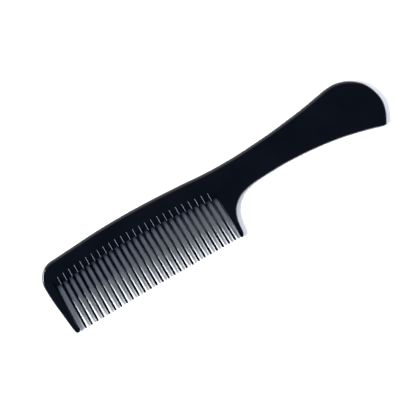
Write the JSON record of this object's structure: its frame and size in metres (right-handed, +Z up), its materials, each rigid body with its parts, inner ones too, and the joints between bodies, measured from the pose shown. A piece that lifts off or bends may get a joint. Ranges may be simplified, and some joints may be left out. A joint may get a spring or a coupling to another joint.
{
  "type": "handle comb",
  "caption": "Flat moulded handle comb: arched back, even row of tapered teeth between two thick end guards, curved flat handle that widens to a rounded, drooping end.",
  "frame": {"origin": "middle of the bounding box in plan, on the surface that the comb lies on", "axes": "+X along the comb to the end of the handle, +Y to the back of the comb, away from the tips of the teeth, +Z up through the thickness"},
  "size_m": [0.215, 0.0485, 0.004],
  "materials": {
    "moulding": "polished injection-moulded black plastic with faint flow marks and fine handling scratches"
  },
  "bodies": {
    "root": {"back": "moulding", "handle": "moulding", "front_guard": "moulding", "rear_guard": "moulding", "tooth_01": "moulding", "tooth_02": "moulding", "tooth_03": "moulding", "tooth_04": "moulding", "tooth_05": "moulding", "tooth_06": "moulding", "tooth_07": "moulding", "tooth_08": "moulding", "tooth_09": "moulding", "tooth_10": "moulding", "tooth_11": "moulding", "tooth_12": "moulding", "tooth_13": "moulding", "tooth_14": "moulding", "tooth_15": "moulding", "tooth_16": "moulding", "tooth_17": "moulding", "tooth_18": "moulding", "tooth_19": "moulding", "tooth_20": "moulding", "tooth_21": "moulding", "tooth_22": "moulding", "tooth_23": "moulding", "tooth_24": "moulding", "tooth_25": "moulding", "tooth_26": "moulding"}
  },
  "joints": []
}
